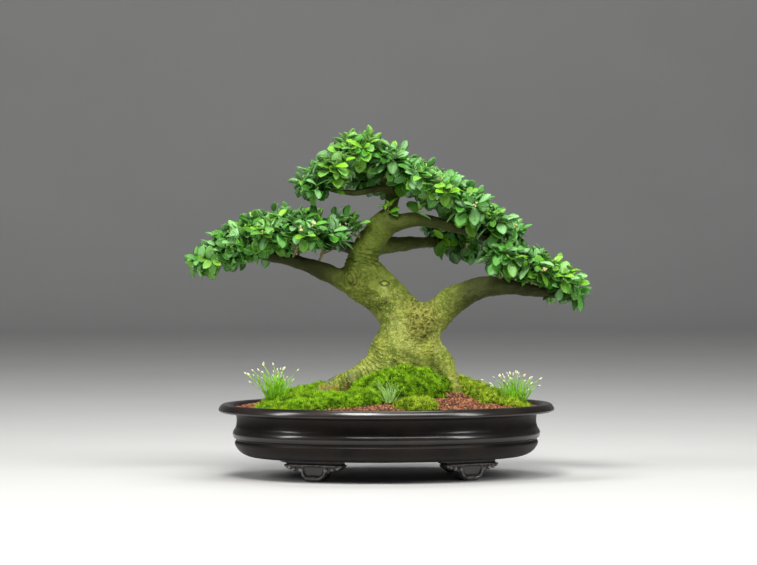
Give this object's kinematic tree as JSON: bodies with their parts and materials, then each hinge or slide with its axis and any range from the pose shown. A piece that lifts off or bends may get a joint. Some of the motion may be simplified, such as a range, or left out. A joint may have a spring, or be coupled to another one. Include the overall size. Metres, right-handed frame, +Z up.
{
  "type": "privet bonsai in an oval pot",
  "caption": "Privet bonsai with a thick burled trunk, spreading roots and layered pads of small leaves, planted in an oval glazed-clay pot on bracket feet.",
  "frame": {"origin": "centre of the object's box in plan, on the plane that the pot's feet stand on", "axes": "+X along the pot towards the picture's right, +Y towards the back, +Z up"},
  "size_m": [0.4774, 0.3, 0.4089],
  "materials": {
    "clay": "semi-gloss dark brown, almost black",
    "plastic": "matt black mesh",
    "soil": "matt red-brown baked clay granules and dark loam",
    "bark": "rough olive-green bark with rings, pores and orange and grey lichen",
    "leaf": "satin blue-green leaves, yellow-green young tips and brown twigs",
    "moss": "matt bright green pile",
    "yellow_moss": "matt yellow-green pile",
    "grass": "satin green blades with pale seed heads"
  },
  "bodies": {
    "root": {"drain_screen_left": "plastic", "drain_screen_right": "plastic", "grass_centre": "grass", "grass_left": "grass", "grass_right": "grass", "moss_back": "moss", "moss_back_left": "moss", "moss_front": "moss", "moss_mound": "moss", "moss_right": "yellow_moss", "pot": "clay", "soil": "soil", "spray_apex_1": "leaf", "spray_apex_2": "leaf", "spray_apex_3": "leaf", "spray_back_middle_1": "leaf", "spray_back_middle_2": "leaf", "spray_back_right_1": "leaf", "spray_back_right_2": "leaf", "spray_crown_high_1": "leaf", "spray_crown_high_2": "leaf", "spray_crown_left_1": "leaf", "spray_crown_left_2": "leaf", "spray_crown_right_1": "leaf", "spray_crown_right_2": "leaf", "spray_crown_right_3": "leaf", "spray_crown_top_1": "leaf", "spray_crown_top_2": "leaf", "spray_left_back_1": "leaf", "spray_left_back_2": "leaf", "spray_left_heel_1": "leaf", "spray_left_inner_1": "leaf", "spray_left_inner_2": "leaf", "spray_left_middle_1": "leaf", "spray_left_middle_2": "leaf", "spray_left_middle_3": "leaf", "spray_left_outer_1": "leaf", "spray_left_outer_2": "leaf", "spray_left_tip_1": "leaf", "spray_right_inner_1": "leaf", "spray_right_inner_2": "leaf", "spray_right_middle_1": "leaf", "spray_right_middle_2": "leaf", "spray_right_outer_1": "leaf", "spray_right_outer_2": "leaf", "spray_right_spur_1": "leaf", "spray_right_tip_1": "leaf", "spray_right_upper_1": "leaf", "spray_right_upper_2": "leaf", "spray_shoulder_1": "leaf", "spray_shoulder_2": "leaf", "spray_shoulder_3": "leaf", "spray_shoulder_low_1": "leaf", "spray_shoulder_low_2": "leaf", "wood": "bark"}
  },
  "joints": []
}
